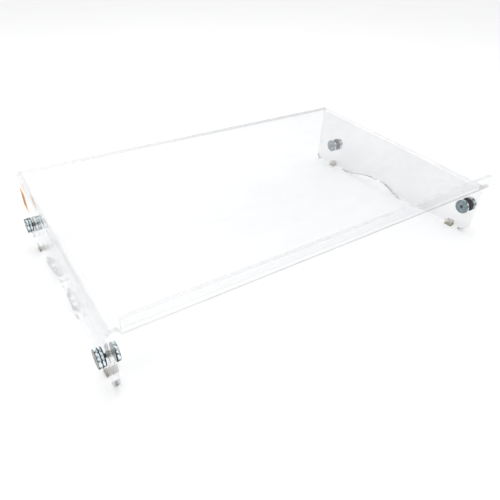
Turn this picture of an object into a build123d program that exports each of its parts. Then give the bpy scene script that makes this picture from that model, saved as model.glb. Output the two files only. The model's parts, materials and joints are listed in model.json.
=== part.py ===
from build123d import *
import os
from math import atan, cos, degrees, sin

# Countertop sneeze guard: one sheet of clear acrylic, line-bent into a flat top, two side
# panels and a low front upstand, with four screw clamps through the side panels.
#
# The guard is drawn with its top level ("sheet frame"): X runs left to right along the front
# edge, Y runs from the front edge to the back edge, Z is up, and Z = 0 is the top's upper face.
# The feet are cut on a line that drops towards the back, so the finished guard is turned about
# X until that line is level, and its origin is set under the middle of the whole assembly.

# ---- driving dimensions, mm ----
WIDTH = 672.0            # outer face to outer face of the side panels
DEPTH = 415.5            # front edge to back edge of the top
SHEET = 6.35             # acrylic sheet, 1/4 inch
BEND_OUT = 8.0           # outside radius of every line bend
BEND_IN = BEND_OUT - SHEET

LIP_HEIGHT = 21.0        # top of the front upstand above the top's upper face
LIP_FRONT = -5.0         # front face of the upstand
LIP_LEFT_END = 16.0      # the upstand stops short of the left side panel
LIP_MITRE = 5.5          # the right end is cut back by this much at its rear face

RELIEF_DEPTH = 7.6       # corner relief at the left end of the upstand
RELIEF_RADIUS = 5.0
RELIEF_DROP = 8.5        # how far the corner reliefs reach down the side bends
SAW_KERF = 2.0           # slit that frees the right end of the upstand
SLIT_LENGTH = 11.0

FOOT_LEVEL = 98.0        # drop of the foot line below the top, at the front edge
FOOT_SLOPE = 0.065       # further drop per mm towards the back
FRONT_CORNER = 22.0      # radius of the front bottom corner of a side panel
REAR_CORNER = 9.0
ARCH_START = 150.0       # the lower edge leaves the foot line here,
ARCH_TOP_FRONT = 220.0   # is highest between these two,
ARCH_TOP_REAR = 226.0
ARCH_END = 332.0         # and is back on the foot line here
ARCH_RISE = 16.2

HOLE_RADIUS = 4.0        # clearance hole for an M6 stud
FRONT_FIXING = (20.8, -50.6)    # Y, Z of the hole centres
REAR_FIXING = (367.5, -73.8)

STUD_RADIUS = 2.95
THREAD_CLEARANCE = 0.05
DISC_RADIUS = 12.7       # one-inch knurled discs
DISC_CHAMFER = 0.5
INNER_DISC = 4.4         # thickness of the disc inside the panel
CLAMP_DISC = 3.6
THUMB_NUT = 4.6
STUD_TIP = 0.6           # chamfer at the stud's outer end
SOCKET_RADIUS = 2.2      # hexagon socket in the screw's inner end, across its corners
SOCKET_DEPTH = 2.4
WASHER_RADIUS = 12.0
WASHER_BORE = 3.3
WASHER = 1.0
INNER_GAP = 2.3          # panel's inner face to the inner washer, as stored
FRONT_STANDOFF = 2.6     # panel's outer face to the clamp washer, as stored
REAR_STANDOFF = 1.2
NUT_GAP = 0.3            # clamp disc to thumb nut

PAD_LENGTH = 14.0
PAD_WALL = 1.3           # side walls and base of the U-shaped foot pads
PAD_GRIP = 8.5           # how far a pad reaches up the panel
PAD_ROUND = 1.0          # rounding of the pad's ends
FRONT_PAD = 38.0         # distance of the pad centres from the front edge
REAR_PAD = 362.0

LABEL_SIZE = (34.0, 37.0)       # along Y and Z
LABEL_CENTRE = (394.0, -40.5)
LABEL_THICKNESS = 0.2

TILT = degrees(atan(FOOT_SLOPE))
BELOW = 200.0            # deeper than any foot, for blanks that are trimmed later
MARGIN = 1.0             # how far a cutter reaches past the faces that it cuts
RELIEF_BLANK = 20.0      # side of the square blank that cuts the corner relief
HAIR = 0.001             # keeps a fillet just short of the flat beside it


def foot_z(y):
    """Height of the foot line at a distance y from the front edge."""
    return -FOOT_LEVEL - FOOT_SLOPE * y


def in_side_plane(y, z):
    """A point in the plane of a side panel."""
    return Vector(0, y, z)


def above_foot(y, rise):
    """A point square above the foot line; y is measured where the foot line is met."""
    angle = atan(FOOT_SLOPE)
    return in_side_plane(y + rise * sin(angle), foot_z(y) + rise * cos(angle))


def s_curve(start, end, tangent):
    """Two equal tangent arcs from start to end, both ends running along tangent."""
    middle = (start + end) / 2
    first = TangentArc(start, middle, tangent=tangent)
    second = TangentArc(end, middle, tangent=-tangent)
    return [first, second]


def side_outline():
    """Outline of a side panel seen from the side, up to the plane of the top."""
    along = Vector(0, cos(atan(FOOT_SLOPE)), -sin(atan(FOOT_SLOPE)))
    front_top = in_side_plane(0, 0)
    front_foot = in_side_plane(0, foot_z(0))
    arch_front = above_foot(ARCH_START, 0)
    arch_top_front = above_foot(ARCH_TOP_FRONT, ARCH_RISE)
    arch_top_rear = above_foot(ARCH_TOP_REAR, ARCH_RISE)
    arch_rear = above_foot(ARCH_END, 0)
    rear_foot = in_side_plane(DEPTH, foot_z(DEPTH))
    rear_top = in_side_plane(DEPTH, 0)
    edges = [Line(front_top, front_foot), Line(front_foot, arch_front)]
    edges += s_curve(arch_front, arch_top_front, along)
    edges += [Line(arch_top_front, arch_top_rear)]
    edges += s_curve(arch_top_rear, arch_rear, along)
    edges += [Line(arch_rear, rear_foot), Line(rear_foot, rear_top), Line(rear_top, front_top)]
    wire = Wire.combine([piece.edge() for piece in edges])[0]
    face = Face(wire)
    solid = Solid.extrude(face, Vector(WIDTH, 0, 0))
    corners = solid.edges().filter_by(Axis.X)
    front = corners.sort_by_distance(front_foot)[0]
    rear = corners.sort_by_distance(rear_foot)[0]
    return solid.fillet(FRONT_CORNER, [front]).fillet(REAR_CORNER, [rear])


def channel():
    """The bent top and sides as a plain channel, before the sides are cut to shape."""
    outer = Pos(WIDTH / 2, -BELOW / 2) * Rectangle(WIDTH, BELOW)
    outer = fillet(outer.vertices().group_by(Axis.Y)[-1], BEND_OUT)
    inner_height = BELOW - SHEET
    inner = Pos(WIDTH / 2, -SHEET - inner_height / 2) * Rectangle(WIDTH - 2 * SHEET, inner_height)
    inner = fillet(inner.vertices().group_by(Axis.Y)[-1], BEND_IN)
    section = outer - inner
    front_plane = Plane(origin=(0, 0, 0), x_dir=(1, 0, 0), z_dir=(0, -1, 0))
    return extrude(front_plane * section, -DEPTH)


def upstand():
    """The front upstand with its line bend, from the relief to the right-hand edge."""
    bend_end = LIP_FRONT + BEND_OUT
    lip_rear = LIP_FRONT + SHEET
    outline = Polyline(
        (bend_end, -SHEET),
        (LIP_FRONT, -SHEET),
        (LIP_FRONT, LIP_HEIGHT),
        (lip_rear, LIP_HEIGHT),
        (lip_rear, 0),
        (bend_end, 0),
        close=True,
    )
    section = make_face(outline)
    outer_corner = section.vertices().sort_by_distance((LIP_FRONT, -SHEET))[0]
    section = fillet(outer_corner, BEND_OUT - HAIR)
    inner_corner = section.vertices().sort_by_distance((lip_rear, 0))[0]
    section = fillet(inner_corner, BEND_IN - HAIR)
    side_plane = Plane(origin=(LIP_LEFT_END, 0, 0), x_dir=(0, 1, 0), z_dir=(1, 0, 0))
    lip = extrude(side_plane * section, WIDTH - LIP_LEFT_END)
    mitre = Polyline(
        (WIDTH + MARGIN, LIP_FRONT),
        (WIDTH, LIP_FRONT),
        (WIDTH - LIP_MITRE, lip_rear + HAIR),
        (WIDTH + MARGIN, lip_rear + HAIR),
        close=True,
    )
    cutter = extrude(Pos(0, 0, BEND_IN) * make_face(mitre), LIP_HEIGHT)
    return lip - cutter


def corner_relief():
    """Rounded notch between the left side panel and the upstand."""
    centre = Pos(LIP_LEFT_END - RELIEF_BLANK / 2, RELIEF_DEPTH - RELIEF_BLANK / 2)
    plan = centre * Rectangle(RELIEF_BLANK, RELIEF_BLANK)
    inner = plan.vertices().sort_by_distance((LIP_LEFT_END, RELIEF_DEPTH))[0]
    plan = fillet(inner, RELIEF_RADIUS)
    return extrude(Pos(0, 0, -RELIEF_DROP) * plan, RELIEF_DROP + MARGIN)


def box_between(low, high):
    """A box given by two opposite corners."""
    size = [b - a for a, b in zip(low, high)]
    centre = [(a + b) / 2 for a, b in zip(low, high)]
    return Pos(*centre) * Box(*size)


def make_shell():
    """The one-piece acrylic guard."""
    bend_end = LIP_FRONT + BEND_OUT
    shell = channel() & side_outline()
    right = WIDTH + MARGIN
    shell -= box_between((LIP_LEFT_END, -MARGIN, -RELIEF_DROP), (right, bend_end, MARGIN))
    shell += upstand()
    shell -= corner_relief()
    slit_left = WIDTH - SLIT_LENGTH
    slit_end = bend_end + SAW_KERF
    shell -= box_between((slit_left, bend_end, -RELIEF_DROP), (right, slit_end, MARGIN))
    for y, z in (FRONT_FIXING, REAR_FIXING):
        drill = Pos(WIDTH / 2, y, z) * Rot(0, 90, 0) * Cylinder(HOLE_RADIUS, WIDTH + 2 * MARGIN)
        shell -= drill
    return shell


def ring(radius, bore, thickness, chamfer_size=0.0):
    """A disc with a through hole, standing on Z = 0."""
    disc = Cylinder(radius, thickness, align=(Align.CENTER, Align.CENTER, Align.MIN))
    if chamfer_size:
        rims = disc.edges().filter_by(GeomType.CIRCLE)
        disc = chamfer(rims, chamfer_size)
    hole = Cylinder(bore, 3 * thickness)
    return disc - hole


def stud_body(length):
    """Plain shank on Z, its lower end flush with the disc's face, with a hexagon socket."""
    shank = Cylinder(STUD_RADIUS, length, align=(Align.CENTER, Align.CENTER, Align.MIN))
    shank = chamfer(shank.edges().filter_by(GeomType.CIRCLE).sort_by(Axis.Z)[-1], STUD_TIP)
    socket = extrude(RegularPolygon(SOCKET_RADIUS, 6), SOCKET_DEPTH)
    return shank - socket


def fixing(standoff):
    """One screw clamp on the +Z axis, with Z = 0 in the panel's outer face.

    Returns each piece by name; +Z points away from the guard.
    """
    washer_bottom = -SHEET - INNER_GAP - WASHER
    inner_bottom = washer_bottom - INNER_DISC
    clamp_bottom = standoff + WASHER
    nut_bottom = clamp_bottom + CLAMP_DISC + NUT_GAP
    nut_top = nut_bottom + THUMB_NUT
    bore = STUD_RADIUS + THREAD_CLEARANCE
    inner_disc = ring(DISC_RADIUS, STUD_RADIUS, INNER_DISC, DISC_CHAMFER)
    return {
        "screw_disc": Pos(0, 0, inner_bottom) * inner_disc,
        "stud": Pos(0, 0, inner_bottom) * stud_body(nut_top - inner_bottom),
        "inner_washer": Pos(0, 0, washer_bottom) * ring(WASHER_RADIUS, WASHER_BORE, WASHER),
        "clamp_washer": Pos(0, 0, standoff) * ring(WASHER_RADIUS, WASHER_BORE, WASHER),
        "clamp_disc": Pos(0, 0, clamp_bottom) * ring(DISC_RADIUS, bore, CLAMP_DISC, DISC_CHAMFER),
        "thumb_nut": Pos(0, 0, nut_bottom) * ring(DISC_RADIUS, bore, THUMB_NUT, DISC_CHAMFER),
    }


def foot_pad():
    """U-shaped bumper; the panel's lower edge sits in it at Z = 0 and runs along Y."""
    height = PAD_GRIP + PAD_WALL
    outer = Pos(0, 0, height / 2 - PAD_WALL) * Box(SHEET + 2 * PAD_WALL, PAD_LENGTH, height)
    outer = fillet(outer.edges().filter_by(Axis.X), PAD_ROUND)
    slot = Pos(0, 0, height / 2) * Box(SHEET, PAD_LENGTH + 2 * MARGIN, height)
    return outer - slot


def make_pads():
    """A pad under each foot, square to the foot line."""
    pads = {}
    for side, x in (("left", SHEET / 2), ("right", WIDTH - SHEET / 2)):
        for end, y in (("front", FRONT_PAD), ("rear", REAR_PAD)):
            pads[f"{side}_{end}_foot_pad"] = Pos(x, y, foot_z(y)) * Rot(-TILT, 0, 0) * foot_pad()
    return pads


def make_fixings():
    """Four screw clamps; each points out of its own side panel."""
    pieces = {}
    corners = (("front", FRONT_FIXING, FRONT_STANDOFF), ("rear", REAR_FIXING, REAR_STANDOFF))
    sides = (("left", 0.0, -90), ("right", WIDTH, 90))
    for side, x, turn in sides:
        for end, (y, z), standoff in corners:
            place = Pos(x, y, z) * Rot(0, turn, 0)
            for name, piece in fixing(standoff).items():
                pieces[f"{side}_{end}_{name}"] = place * piece
    return pieces


def make_label():
    """Plain sticker on the outside of the left panel."""
    y, z = LABEL_CENTRE
    length, height = LABEL_SIZE
    return Pos(-LABEL_THICKNESS / 2, y, z) * Box(LABEL_THICKNESS, length, height)


def stand(pieces):
    """Turn the guard level on its feet and put its origin under the middle of its box."""
    turned = {name: Rot(TILT, 0, 0) * piece for name, piece in pieces.items()}
    boxes = [piece.bounding_box() for piece in turned.values()]
    left = min(box.min.X for box in boxes)
    right = max(box.max.X for box in boxes)
    front = min(box.min.Y for box in boxes)
    back = max(box.max.Y for box in boxes)
    bottom = min(box.min.Z for box in boxes)
    home = Pos(-(left + right) / 2, -(front + back) / 2, -bottom)
    print("sheet frame to guard frame: turn", round(TILT, 4), "then move", home.position)
    return {name: home * piece for name, piece in turned.items()}


pieces = {"guard_shell": make_shell(), "side_label": make_label()}
pieces.update(make_pads())
pieces.update(make_fixings())

os.makedirs("parts", exist_ok=True)
for name, piece in stand(pieces).items():
    export_step(piece, f"parts/{name}.step")
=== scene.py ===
import json
from math import cos, pi, radians, sin

import bmesh
import bpy
from mathutils import Euler, Matrix, Vector


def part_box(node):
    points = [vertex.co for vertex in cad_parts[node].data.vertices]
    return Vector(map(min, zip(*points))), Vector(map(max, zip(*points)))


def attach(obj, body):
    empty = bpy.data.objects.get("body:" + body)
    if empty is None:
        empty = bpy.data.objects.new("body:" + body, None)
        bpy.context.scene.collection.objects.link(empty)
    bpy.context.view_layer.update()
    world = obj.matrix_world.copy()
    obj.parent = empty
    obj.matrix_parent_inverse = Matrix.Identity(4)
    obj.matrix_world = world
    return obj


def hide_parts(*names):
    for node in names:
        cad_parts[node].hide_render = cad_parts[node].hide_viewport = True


# Clear acrylic sneeze guard: one bent sheet, four screw clamps through its sides, four foot pads
# and a plain sticker. Lengths are in metres; every piece is placed from its CAD node's box.

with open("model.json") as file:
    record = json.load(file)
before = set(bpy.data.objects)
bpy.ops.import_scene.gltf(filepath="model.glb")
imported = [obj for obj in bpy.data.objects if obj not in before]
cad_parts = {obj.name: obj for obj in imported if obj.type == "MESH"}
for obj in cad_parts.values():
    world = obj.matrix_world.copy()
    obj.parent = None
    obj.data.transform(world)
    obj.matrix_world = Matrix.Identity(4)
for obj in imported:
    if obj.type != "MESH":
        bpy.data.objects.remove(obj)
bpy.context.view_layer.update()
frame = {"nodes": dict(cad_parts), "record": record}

SIDES = ("left", "right")
ENDS = ("front", "rear")
CORNERS = [f"{side}_{end}" for side in SIDES for end in ENDS]

# ---- fixing details ----
KNURLS = 64                         # teeth round a disc's rim
KNURL_DEPTH = 0.00028
DISC_CHAMFER = 0.0005
BORE_RELIEF = 0.0004                # chamfer round a disc's bore
GROOVE_DEPTH = 0.00016
FACE_GROOVE = (0.0088, 0.0096)      # inner and outer radius of the turned groove in each face
STUD_RADIUS = 0.00295
STUD_TIP = 0.0006                   # chamfer at the outer end
THREAD_PITCH = 0.001
THREAD_DEPTH = 0.00052
THREAD_SEGMENTS = 28
STEPS_PER_PITCH = 6
SOCKET_RADIUS = 0.0022              # from the axis to a corner of the hexagon
SOCKET_DEPTH = 0.0024
WASHER_BORE = 0.0033
WASHER_ROUND = 0.0003
WASHER_SEGMENTS = 96
SMOOTH_ANGLE = 35.0                 # an edge sharper than this, in degrees, stays sharp

# ---- the sheet ----
SHEET = 0.00635                     # thickness
BEND_OUT = 0.008                    # outer radius of a bend
LIP_HEIGHT = 0.021                  # of the upstand, above the top
RELIEF_REACH = 0.013                # the corner relief ends this far behind the upstand's front
FOOT_TILT = 0.0649                  # the top climbs this angle, in radians, towards the back
ARRIS = 0.00035                     # radius of the scraped and flamed edges
ARRIS_ANGLE = 40                    # an edge sharper than this, in degrees, is rounded
WELD = 0.00001                      # points of a CAD node closer than this are joined
SQUARE = 0.97                       # a face this nearly square to an axis faces along it
UPRIGHT = 0.5                       # a face whose normal rises less than this stands upright
HAIR = 0.0002                       # slack when places are compared

# ---- the label ----
LABEL_CORNER = 0.0025
LABEL_STEPS = 6                     # per rounded corner
LABEL_SHARE = 0.97                  # the tilted label's own size over its CAD box

# ---- patterns ----
PER_WIDTH = 1.5                     # about one over the guard's width
TOOL_MARKS = 16000.0                # radians of ring pattern per metre of a turned face's radius
FACE_SQUARENESS = 0.85              # a disc's flat faces are squarer to its axis than this
CHAMFER_SQUARENESS = 0.35           # and its chamfers than this
CREST_PALING = 300.0                  # how fast the stud brightens with distance from its axis
PAD_LIGHTENING = 70.0                     # how fast a pad lightens with height above the ground
RAGGEDNESS = 0.16                        # share of noise in the ragged edge of a patch
GRAZING_POWER = 4.6                 # how late the gloss of acrylic sets in
GRAZING_TINT = 0.75                 # how much greyer a grazing view through acrylic is
GRAZING_GLOSS = 0.8
FACING_GLOSS = 0.035

# ---- studio ----
CAMERA_PLACE = (-0.41361, -0.58487, 0.45061)
CAMERA_TURN = (56.051, -0.832, -33.8804)
CAMERA_LENS = 33.68
FLOOR_SIZE = 14.0
WORLD_STRENGTH = 1.008


# ---------------------------------------------------------------- materials


def new_material(name):
    """A material with a Principled shader; returns it with its node tree and the shader."""
    material = bpy.data.materials.new(name)
    material.use_nodes = True
    tree = material.node_tree
    return material, tree, tree.nodes["Principled BSDF"]


def add(tree, kind, **values):
    """A node with some of its inputs set; a key is the input's name with _ for a space."""
    node = tree.nodes.new(kind)
    for key, value in values.items():
        node.inputs[key.replace("_", " ")].default_value = value
    return node


def object_noise(tree, scale, detail=4.0, stretch=(1, 1, 1)):
    """Noise in the piece's own coordinates; returns the factor output."""
    place = tree.nodes.new("ShaderNodeTexCoord")
    mapping = tree.nodes.new("ShaderNodeMapping")
    mapping.inputs["Scale"].default_value = stretch
    noise = add(tree, "ShaderNodeTexNoise", Scale=scale, Detail=detail, Roughness=0.6)
    tree.links.new(place.outputs["Object"], mapping.inputs["Vector"])
    tree.links.new(mapping.outputs["Vector"], noise.inputs["Vector"])
    return noise.outputs["Fac"]


def ramp(tree, source, *stops):
    """Colour ramp from (position, colour) pairs; a colour may be one grey level."""
    node = tree.nodes.new("ShaderNodeValToRGB")
    elements = node.color_ramp.elements
    while len(elements) < len(stops):
        elements.new(0.5)
    for element, (position, colour) in zip(elements, stops):
        element.position = position
        rgb = (colour,) * 3 if isinstance(colour, (int, float)) else colour
        element.color = (*rgb, 1.0)
    tree.links.new(source, node.inputs["Fac"])
    return node.outputs["Color"]


def bump(tree, source, shader, strength, distance):
    """Bump from a height output into a shader."""
    node = add(tree, "ShaderNodeBump", Strength=strength, Distance=distance)
    tree.links.new(source, node.inputs["Height"])
    tree.links.new(node.outputs["Normal"], shader.inputs["Normal"])


def calc(tree, operation, first, second=None):
    """A Math node; an input may be a number or an output."""
    node = tree.nodes.new("ShaderNodeMath")
    node.operation = operation
    for socket, value in zip(node.inputs, (first, second)):
        if isinstance(value, (int, float)):
            socket.default_value = value
        elif value is not None:
            tree.links.new(value, socket)
    return node.outputs["Value"]


def object_axes(tree):
    """X, Y and Z of the piece's own coordinates."""
    place = tree.nodes.new("ShaderNodeTexCoord")
    split = tree.nodes.new("ShaderNodeSeparateXYZ")
    tree.links.new(place.outputs["Object"], split.inputs["Vector"])
    return split.outputs["X"], split.outputs["Y"], split.outputs["Z"]


def axis_distance(tree):
    """Distance from the piece's own Z axis."""
    x, y, _ = object_axes(tree)
    squares = calc(tree, "ADD", calc(tree, "MULTIPLY", x, x), calc(tree, "MULTIPLY", y, y))
    return calc(tree, "SQRT", squares)


def across_guard(tree):
    """0 at the left side of the guard and 1 at the right."""
    return calc(tree, "ADD", calc(tree, "MULTIPLY", object_axes(tree)[0], PER_WIDTH), 0.5)


def mix(tree, factor, first, second):
    """A Mix Shader of two shader outputs; the factor may be a number or an output."""
    node = tree.nodes.new("ShaderNodeMixShader")
    if isinstance(factor, (int, float)):
        node.inputs["Fac"].default_value = factor
    else:
        tree.links.new(factor, node.inputs["Fac"])
    tree.links.new(first, node.inputs[1])
    tree.links.new(second, node.inputs[2])
    return node.outputs["Shader"]


def normal_axis(tree, axis):
    """How squarely the surface faces along one of the piece's own axes, 0 to 1."""
    place = tree.nodes.new("ShaderNodeTexCoord")
    split = tree.nodes.new("ShaderNodeSeparateXYZ")
    tree.links.new(place.outputs["Normal"], split.inputs["Vector"])
    return calc(tree, "ABSOLUTE", split.outputs[axis])


def blend_colours(tree, factor, first, second):
    """A colour between two; each may be a colour or an output."""
    node = tree.nodes.new("ShaderNodeMix")
    node.data_type = "RGBA"
    tree.links.new(factor, node.inputs["Factor"])
    for socket, value in ((node.inputs[6], first), (node.inputs[7], second)):
        if isinstance(value, tuple):
            socket.default_value = (*value, 1.0)
        else:
            tree.links.new(value, socket)
    return node.outputs[2]


def feed(tree, shader, **sources):
    """Links outputs into a shader; a key is the input's name with _ for a space."""
    for key, source in sources.items():
        tree.links.new(source, shader.inputs[key.replace("_", " ")])


def show(tree, surface):
    """Makes a shader output the material's surface."""
    feed(tree, tree.nodes["Material Output"], Surface=surface)


def acrylic_tint(tree, cloud, grazing):
    """Colour of the light that passes: painted shade makes it greyer to the right and on the
    sides; it is also greyer at grazing angles.
    """
    across = across_guard(tree)
    top_cloud = ramp(tree, cloud, (0.35, (0.956, 0.960, 0.966)), (0.65, (0.978, 0.980, 0.984)))
    side_cloud = ramp(tree, cloud, (0.35, (0.925, 0.928, 0.934)), (0.65, (0.950, 0.950, 0.948)))
    # painted shade: the tint greys from the left side of the guard towards the right
    top_painted_shade = ramp(tree, across, (0.15, 0.0), (0.95, 1.0))
    side_painted_shade = ramp(tree, across, (0.4, 0.0), (0.6, 1.0))
    top = blend_colours(tree, top_painted_shade, (0.998, 0.998, 0.998), top_cloud)
    side = blend_colours(tree, side_painted_shade, (0.965, 0.966, 0.967), side_cloud)
    # painted shade: the sides are tinted greyer than the top
    face = blend_colours(tree, normal_axis(tree, "X"), top, side)
    share = calc(tree, "MULTIPLY", grazing, GRAZING_TINT)
    return blend_colours(tree, share, face, (0.87, 0.88, 0.89))


def acrylic_material():
    """Clear acrylic: see-through with a gloss that grows at grazing angles, and faintly hazed."""
    material, tree, shader = new_material("clear_acrylic")
    cloud = object_noise(tree, 6.0, detail=6.0)
    streaks = object_noise(tree, 11.0, detail=6.0, stretch=(1, 3, 3))
    facing = add(tree, "ShaderNodeLayerWeight", Blend=0.5)
    grazing = calc(tree, "POWER", facing.outputs["Facing"], GRAZING_POWER)
    clear = tree.nodes.new("ShaderNodeBsdfTransparent")
    feed(tree, clear, Color=acrylic_tint(tree, cloud, grazing))
    gloss = add(tree, "ShaderNodeBsdfGlossy", Color=(0.95, 0.96, 0.97, 1.0))
    feed(tree, gloss, Roughness=ramp(tree, streaks, (0.40, 0.02), (0.75, 0.10)))
    sheen = calc(tree, "ADD", calc(tree, "MULTIPLY", grazing, GRAZING_GLOSS), FACING_GLOSS)
    polished = mix(tree, sheen, clear.outputs["BSDF"], gloss.outputs["BSDF"])
    shader.inputs["Roughness"].default_value = 0.6
    haze_colour = ramp(tree, cloud, (0.3, (0.66, 0.67, 0.69)), (0.7, (0.80, 0.80, 0.80)))
    feed(tree, shader, Base_Color=haze_colour)
    haze = ramp(tree, streaks, (0.38, 0.022), (0.72, 0.050))
    show(tree, mix(tree, haze, polished, shader.outputs["BSDF"]))
    return material


def sawn_material(name, dull, pale, painted_glow, left_share):
    """A cut edge of the sheet, frosted by the saw between two greys.

    The edge has a painted glow: it emits light by painted_glow, standing in for light that runs
    along inside the sheet and comes out here. left_share is how much of the frosting there is at
    the left side.
    """
    material, tree, shader = new_material(name)
    marks = object_noise(tree, 120.0, detail=5.0)
    colour = ramp(tree, marks, (0.3, dull), (0.7, pale))
    rough = ramp(tree, marks, (0.3, 0.25), (0.7, 0.5))
    feed(tree, shader, Base_Color=colour, Roughness=rough)
    bump(tree, marks, shader, strength=0.2, distance=0.0002)
    # painted glow: emission makes the cut edge brighter than its surroundings
    shader.inputs["Emission Color"].default_value = (1.0, 1.0, 1.0, 1.0)
    shader.inputs["Emission Strength"].default_value = painted_glow
    clear = add(tree, "ShaderNodeBsdfTransparent", Color=(0.97, 0.98, 0.985, 1.0))
    share = ramp(tree, across_guard(tree), (0.05, left_share), (0.65, 1.0))
    frosted = calc(tree, "MULTIPLY", ramp(tree, marks, (0.25, 0.66), (0.75, 0.80)), share)
    show(tree, mix(tree, frosted, clear.outputs["BSDF"], shader.outputs["BSDF"]))
    return material


def zinc_material(name, *face_stops):
    """Zinc-plated steel: dull turned faces, rims with patchy painted highlights and painted dark
    reflections, and darker chamfers.
    """
    material, tree, shader = new_material(name)
    face = ramp(tree, object_noise(tree, 190.0, detail=5.0), *face_stops)
    # painted highlights and reflections: the rim's colour jumps in patches between near black and
    # near white
    rim = ramp(
        tree,
        object_noise(tree, 300.0, detail=2.0),
        (0.36, (0.030, 0.036, 0.040)),
        (0.45, (0.42, 0.52, 0.57)),
        (0.60, (0.90, 0.95, 0.97)),
    )
    squareness = normal_axis(tree, "Z")
    chamfered = calc(tree, "GREATER_THAN", squareness, CHAMFER_SQUARENESS)
    flat = calc(tree, "GREATER_THAN", squareness, FACE_SQUARENESS)
    # the chamfers are darker
    darkened_chamfers = blend_colours(tree, chamfered, rim, (0.035, 0.040, 0.042))
    rough = ramp(tree, object_noise(tree, 420.0), (0.35, 0.20), (0.75, 0.40))
    feed(tree, shader, Base_Color=blend_colours(tree, flat, darkened_chamfers, face), Roughness=rough)
    shader.inputs["Metallic"].default_value = 1.0
    rings = calc(tree, "SINE", calc(tree, "MULTIPLY", axis_distance(tree), TOOL_MARKS))
    bump(tree, rings, shader, strength=0.12, distance=0.00004)
    return material


def blue_zinc():
    """Blue-grey plating."""
    return zinc_material(
        "zinc_plate",
        (0.30, (0.150, 0.185, 0.200)),
        (0.52, (0.250, 0.310, 0.340)),
        (0.72, (0.400, 0.450, 0.460)),
    )


def olive_zinc():
    """Yellow-passivated plating."""
    return zinc_material(
        "zinc_passivated",
        (0.32, (0.095, 0.095, 0.055)),
        (0.50, (0.260, 0.245, 0.170)),
        (0.70, (0.330, 0.350, 0.320)),
    )


def stud_material():
    """Blackened steel, brighter along the thread crests."""
    material, tree, shader = new_material("black_steel")
    # brighter towards the thread crests
    reach = calc(tree, "MULTIPLY", axis_distance(tree), CREST_PALING)
    crest_paling = calc(tree, "ADD", reach, object_noise(tree, 300.0))
    colour = ramp(
        tree,
        crest_paling,
        (0.0, (0.018, 0.018, 0.020)),
        (0.86, (0.04, 0.04, 0.045)),
        (1.0, 0.22),
    )
    rough = ramp(tree, object_noise(tree, 500.0), (0.3, 0.3), (0.7, 0.5))
    feed(tree, shader, Base_Color=colour, Roughness=rough)
    shader.inputs["Metallic"].default_value = 0.9
    return material


def rubber_material():
    """Dusty black rubber."""
    material, tree, shader = new_material("black_rubber")
    dust = object_noise(tree, 350.0, detail=6.0)
    colour = ramp(tree, dust, (0.35, (0.012, 0.012, 0.013)), (0.75, (0.045, 0.043, 0.040)))
    rough = ramp(tree, dust, (0.3, 0.50), (0.8, 0.75))
    feed(tree, shader, Base_Color=colour, Roughness=rough)
    bump(tree, object_noise(tree, 1200.0), shader, strength=0.3, distance=0.00005)
    return material


def pad_material():
    """Brownish, slightly cloudy vinyl that darkens towards its base."""
    material, tree, shader = new_material("pad_vinyl")
    # darker and less clear towards the bottom
    height = calc(tree, "MULTIPLY", object_axes(tree)[2], PAD_LIGHTENING)
    patches = calc(tree, "MULTIPLY", object_noise(tree, 220.0, detail=6.0), RAGGEDNESS)
    paleness = calc(tree, "ADD", height, patches)
    colour = ramp(
        tree,
        paleness,
        (0.12, (0.035, 0.033, 0.010)),
        (0.20, (0.46, 0.42, 0.33)),
        (0.50, (0.72, 0.69, 0.65)),
        (0.95, (0.80, 0.78, 0.75)),
    )
    rough = ramp(tree, object_noise(tree, 300.0), (0.3, 0.25), (0.7, 0.5))
    feed(tree, shader, Base_Color=colour, Roughness=rough)
    bump(tree, object_noise(tree, 500.0), shader, strength=0.2, distance=0.0001)
    clear = add(tree, "ShaderNodeBsdfTransparent", Color=(0.95, 0.93, 0.89, 1.0))
    body = ramp(tree, paleness, (0.15, 0.98), (0.34, 0.45))
    show(tree, mix(tree, body, clear.outputs["BSDF"], shader.outputs["BSDF"]))
    return material


def label_material(half_y, half_z):
    """Plain orange film whose yellowed glue shows in an uneven margin."""
    material, tree, shader = new_material("label_film")
    _, y, z = object_axes(tree)
    side = calc(tree, "DIVIDE", calc(tree, "ABSOLUTE", y), half_y)
    rise = calc(tree, "DIVIDE", calc(tree, "ABSOLUTE", z), half_z)
    edge = calc(tree, "MAXIMUM", side, rise)
    patches = calc(tree, "MULTIPLY", object_noise(tree, 90.0, detail=5.0), RAGGEDNESS)
    ragged = calc(tree, "ADD", edge, patches)
    colour = ramp(
        tree,
        ragged,
        (0.50, (0.30, 0.065, 0.001)),
        (0.80, (0.62, 0.18, 0.004)),
        (0.93, (0.86, 0.47, 0.06)),
        (1.0, (0.93, 0.74, 0.33)),
    )
    rough = ramp(tree, object_noise(tree, 200.0), (0.3, 0.32), (0.7, 0.55))
    feed(tree, shader, Base_Color=colour, Roughness=rough)
    bump(tree, object_noise(tree, 60.0), shader, strength=0.4, distance=0.0002)
    return material


def floor_material():
    """Plain white paper with a barely visible mottling."""
    material, tree, shader = new_material("white_paper")
    feed(tree, shader, Base_Color=ramp(tree, object_noise(tree, 3.0), (0.3, 0.90), (0.7, 0.915)))
    shader.inputs["Roughness"].default_value = 0.9
    shader.inputs["Specular IOR Level"].default_value = 0.1
    return material


# ---------------------------------------------------------------- meshes


def mesh_object(name, vertices, faces, material):
    """A mesh object with outward normals, smooth except at sharp edges."""
    mesh = bpy.data.meshes.new(name)
    mesh.from_pydata([tuple(v) for v in vertices], [], faces)
    draft = bmesh.new()
    draft.from_mesh(mesh)
    bmesh.ops.recalc_face_normals(draft, faces=draft.faces)
    draft.to_mesh(mesh)
    draft.free()
    mesh.polygons.foreach_set("use_smooth", [True] * len(mesh.polygons))
    mesh.set_sharp_from_angle(angle=radians(SMOOTH_ANGLE))
    mesh.materials.append(material)
    piece = bpy.data.objects.new(name, mesh)
    bpy.context.scene.collection.objects.link(piece)
    return piece


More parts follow.
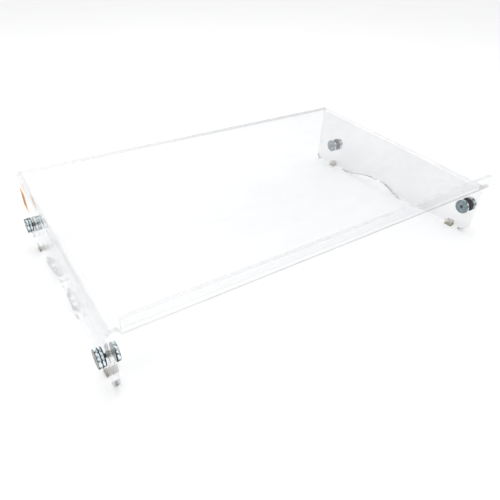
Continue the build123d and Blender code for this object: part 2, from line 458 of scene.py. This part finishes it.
def turned_ring(name, profile, segments, material, tooth=0.0):
    """A closed profile of (radius, height, toothed) points turned round Z.

    Every second pair of steps draws a toothed point in by tooth, which knurls the rim.
    """
    vertices = []
    faces = []
    count = len(profile)
    for step in range(segments):
        angle = 2 * pi * step / segments
        inset = tooth if step % 4 >= 2 else 0.0
        for radius, height, toothed in profile:
            reach = radius - inset if toothed else radius
            vertices.append((reach * cos(angle), reach * sin(angle), height))
    for step in range(segments):
        here = step * count
        there = (step + 1) % segments * count
        for i in range(count):
            j = (i + 1) % count
            faces.append((here + i, there + i, there + j, here + j))
    return mesh_object(name, vertices, faces, material)


def disc_profile(radius, bore, length):
    """Section of a knurled disc with chamfered rims and a shallow groove in each face."""
    low, high = FACE_GROOVE
    edge = GROOVE_DEPTH
    rim = radius - DISC_CHAMFER
    return [
        (bore, BORE_RELIEF, False),
        (bore + BORE_RELIEF, 0, False),
        (low - edge, 0, False),
        (low, edge, False),
        (high, edge, False),
        (high + edge, 0, False),
        (rim, 0, False),
        (radius, DISC_CHAMFER, True),
        (radius, length - DISC_CHAMFER, True),
        (rim, length, False),
        (high + edge, length, False),
        (high, length - edge, False),
        (low, length - edge, False),
        (low - edge, length, False),
        (bore + BORE_RELIEF, length, False),
        (bore, length - BORE_RELIEF, False),
    ]


def washer_profile(radius, bore, length):
    """Section of a flat rubber washer with softened rims."""
    soft = WASHER_ROUND
    return [
        (bore, soft, False),
        (bore + soft, 0, False),
        (radius - soft, 0, False),
        (radius, soft, False),
        (radius, length - soft, False),
        (radius - soft, length, False),
        (bore + soft, length, False),
        (bore, length - soft, False),
    ]


def thread_radius(height, angle, length):
    """Radius of the threaded stud: a V thread that runs out at both ends."""
    turn = (height / THREAD_PITCH - angle / (2 * pi)) % 1.0
    depth = THREAD_DEPTH * (1 - abs(2 * turn - 1))
    runout = min(1.0, (length - height) / THREAD_PITCH, height / THREAD_PITCH)
    tip = max(0.0, STUD_TIP - (length - height))
    return STUD_RADIUS - depth * runout - tip


def threaded_stud(name, length, material):
    """Helical thread on Z with a hexagon socket in its lower end and a chamfered tip."""
    steps = int(length / THREAD_PITCH * STEPS_PER_PITCH)
    vertices = []
    faces = []
    n = THREAD_SEGMENTS
    for step in range(steps + 1):
        height = length * step / steps
        for i in range(n):
            angle = 2 * pi * i / n
            reach = thread_radius(height, angle, length)
            vertices.append((reach * cos(angle), reach * sin(angle), height))
    for step in range(steps):
        for i in range(n):
            j = (i + 1) % n
            low = step * n
            faces.append((low + i, low + j, low + n + j, low + n + i))
    faces.append(tuple(steps * n + i for i in range(n)))
    for depth in (0.0, SOCKET_DEPTH):
        for i in range(n):
            angle = 2 * pi * i / n
            flat = (angle + pi / 6) % (pi / 3) - pi / 6
            reach = SOCKET_RADIUS * cos(pi / 6) / cos(flat)
            vertices.append((reach * cos(angle), reach * sin(angle), depth))
    mouth = (steps + 1) * n
    for i in range(n):
        j = (i + 1) % n
        faces.append((i, mouth + i, mouth + j, j))
        faces.append((mouth + i, mouth + n + i, mouth + n + j, mouth + j))
    faces.append(tuple(mouth + n + i for i in reversed(range(n))))
    return mesh_object(name, vertices, faces, material)


# ---------------------------------------------------------------- pieces


def body_of_node(node):
    """Name of the CAD body that a node belongs to."""
    bodies = frame["record"]["behaviour"]["bodies"]
    return next(body for body, nodes in bodies.items() if node in nodes)


def take_over(piece, node):
    """The piece stands for a CAD node, on the same body."""
    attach(piece, body_of_node(node))
    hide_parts(node)


def along_fixing(node):
    """Place, length and radius of a turned piece, whose Z runs outwards from its inner end."""
    low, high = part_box(node)
    outward = 1 if node.startswith("right") else -1
    start = low.x if outward == 1 else high.x
    middle = (low + high) / 2
    turn = Matrix.Rotation(outward * pi / 2, 4, "Y")
    place = Matrix.Translation((start, middle.y, middle.z)) @ turn
    return place, high.x - low.x, (high.y - low.y) / 2


def make_fixing(corner, zinc, olive, rubber, steel):
    """The six pieces of one screw clamp."""
    for part, plating in (("screw_disc", zinc), ("clamp_disc", zinc), ("thumb_nut", olive)):
        node = f"{corner}_{part}"
        place, length, radius = along_fixing(node)
        profile = disc_profile(radius, STUD_RADIUS, length)
        piece = turned_ring(f"{node}_knurled", profile, 4 * KNURLS, plating, tooth=KNURL_DEPTH)
        piece.matrix_world = place
        take_over(piece, node)
    for part in ("inner_washer", "clamp_washer"):
        node = f"{corner}_{part}"
        place, length, radius = along_fixing(node)
        profile = washer_profile(radius, WASHER_BORE, length)
        piece = turned_ring(f"{node}_ring", profile, WASHER_SEGMENTS, rubber)
        piece.matrix_world = place
        take_over(piece, node)
    node = f"{corner}_stud"
    place, length, _ = along_fixing(node)
    piece = threaded_stud(f"{node}_thread", length, steel)
    piece.matrix_world = place
    take_over(piece, node)


def soften(piece, width):
    """Joins the faces of a CAD node and rounds its arrises by width."""
    weld = piece.modifiers.new("weld", "WELD")
    weld.merge_threshold = WELD
    bevel = piece.modifiers.new("arris", "BEVEL")
    bevel.width = width
    bevel.segments = 2
    bevel.limit_method = "ANGLE"
    bevel.angle_limit = radians(ARRIS_ANGLE)
    bevel.harden_normals = True


def dress_node(node, material, arris):
    """Keeps a CAD node as the shown piece, with its material and softened arrises."""
    piece = frame["nodes"][node]
    piece.data.materials.clear()
    piece.data.materials.append(material)
    soften(piece, arris)


def edge_kind(middle, normal, outer, lip_front, lip_top):
    """0 for a polished face of the sheet, 1 for a cut edge of a side, 2 for another cut edge.

    middle and normal are the face's, with the top level. outer is half the guard's width, and
    lip_front and lip_top are the front and the top of the upstand.
    """
    top = lip_top - LIP_HEIGHT
    on_lip = middle.z > top + SHEET / 2 or middle.y < lip_front + SHEET + HAIR
    if on_lip:
        sawn = abs(normal.x) > SQUARE or middle.z > lip_top - HAIR
        return 2 if sawn else 0
    if abs(middle.x) > outer - BEND_OUT and middle.z < top - BEND_OUT + HAIR:
        return 1 if abs(normal.x) < 1 - SQUARE else 0
    in_relief = middle.z > top - SHEET - HAIR and middle.y < lip_front + RELIEF_REACH
    sawn = abs(normal.y) > SQUARE or (in_relief and abs(normal.z) < UPRIGHT)
    return 2 if sawn else 0


def dress_shell():
    """The sheet's faces are polished and clear; its cut edges and their arrises are sawn."""
    dress_node("guard_shell", acrylic_material(), ARRIS)
    shell = frame["nodes"]["guard_shell"]
    # Painted light and shade: the foot edges are a paler, glowing copy of the sawn edge, the top
    # edges a darker one.
    foot_edges_painted_lit = sawn_material("sawn_foot_edges", dull=0.78, pale=0.92, painted_glow=0.26, left_share=1.0)
    top_edges_painted_shade = sawn_material("sawn_top_edges", dull=0.60, pale=0.74, painted_glow=0.02, left_share=0.35)
    shell.data.materials.append(foot_edges_painted_lit)
    shell.data.materials.append(top_edges_painted_shade)
    shell.modifiers["arris"].material = 2
    level = Matrix.Rotation(-FOOT_TILT, 3, "X")
    points = [level @ vertex.co for vertex in shell.data.vertices]
    outer = max(point.x for point in points)
    lip_front = min(point.y for point in points)
    lip_top = max(point.z for point in points)
    for face in shell.data.polygons:
        middle = sum((points[i] for i in face.vertices), Vector()) / len(face.vertices)
        normal = level @ face.normal
        face.material_index = edge_kind(middle, normal, outer, lip_front, lip_top)


def make_label():
    """Thin sticker with rounded corners."""
    low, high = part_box("side_label")
    middle = (low + high) / 2
    half_y = (high.y - low.y) / 2
    half_z = (high.z - low.z) / 2
    tilt = Matrix.Rotation(FOOT_TILT, 4, "X")
    outline = []
    inner_y = half_y * LABEL_SHARE - LABEL_CORNER
    inner_z = half_z * LABEL_SHARE - LABEL_CORNER
    for quarter, (sy, sz) in enumerate(((1, 1), (-1, 1), (-1, -1), (1, -1))):
        for step in range(LABEL_STEPS + 1):
            angle = pi / 2 * (quarter + step / LABEL_STEPS)
            y = sy * inner_y + LABEL_CORNER * cos(angle)
            z = sz * inner_z + LABEL_CORNER * sin(angle)
            outline.append((y, z))
    thickness = high.x - low.x
    count = len(outline)
    vertices = [(x, y, z) for x in (-thickness / 2, thickness / 2) for y, z in outline]
    faces = [tuple(range(count)), tuple(reversed(range(count, 2 * count)))]
    for i in range(count):
        j = (i + 1) % count
        faces.append((i, j, count + j, count + i))
    piece = mesh_object("side_label_film", vertices, faces, label_material(half_y, half_z))
    piece.matrix_world = Matrix.Translation(middle) @ tilt
    take_over(piece, "side_label")


# ---------------------------------------------------------------- studio


def make_world():
    """Soft white surroundings that darken towards the horizon."""
    world = bpy.data.worlds.new("studio")
    world.use_nodes = True
    bpy.context.scene.world = world
    tree = world.node_tree
    background = tree.nodes["Background"]
    place = tree.nodes.new("ShaderNodeTexCoord")
    split = tree.nodes.new("ShaderNodeSeparateXYZ")
    tree.links.new(place.outputs["Generated"], split.inputs["Vector"])
    colour = ramp(
        tree,
        split.outputs["Z"],
        (0.0, (0.74, 0.75, 0.77)),
        (0.12, (0.80, 0.81, 0.82)),
        (0.34, (0.96, 0.97, 0.98)),
        (0.60, 1.0),
    )
    tree.links.new(colour, background.inputs["Color"])
    background.inputs["Strength"].default_value = WORLD_STRENGTH


def make_light(name, place, turn, size, power):
    """A soft square lamp."""
    lamp = bpy.data.lights.new(name, "AREA")
    lamp.shape = "SQUARE"
    lamp.size = size
    lamp.energy = power
    piece = bpy.data.objects.new(name, lamp)
    piece.location = place
    piece.rotation_euler = Euler([radians(a) for a in turn])
    bpy.context.scene.collection.objects.link(piece)


def make_floor():
    """A wide level sheet under the feet."""
    half = FLOOR_SIZE / 2
    corners = [(-half, -half, 0), (half, -half, 0), (half, half, 0), (-half, half, 0)]
    floor = mesh_object("floor", corners, [(0, 1, 2, 3)], floor_material())


def make_camera():
    """A camera at the front left, above the guard."""
    lens = bpy.data.cameras.new("camera")
    lens.lens = CAMERA_LENS
    camera = bpy.data.objects.new("camera", lens)
    camera.location = CAMERA_PLACE
    camera.rotation_euler = Euler([radians(a) for a in CAMERA_TURN])
    bpy.context.scene.collection.objects.link(camera)
    bpy.context.scene.camera = camera


dress_shell()
zinc = blue_zinc()
olive = olive_zinc()
rubber = rubber_material()
steel = stud_material()
vinyl = pad_material()
for corner in CORNERS:
    make_fixing(corner, zinc, olive, rubber, steel)
    dress_node(f"{corner}_foot_pad", vinyl, ARRIS)
make_label()
make_floor()
make_world()
make_light("overhead", place=(0.3, 0.5, 2.2), turn=(0, 0, 0), size=1.6, power=11.2)
make_light("left_fill", place=(-1.8, -0.6, 1.2), turn=(62, 0, -72), size=1.0, power=7.4)
make_camera()
bpy.context.scene.view_settings.view_transform = "Standard"
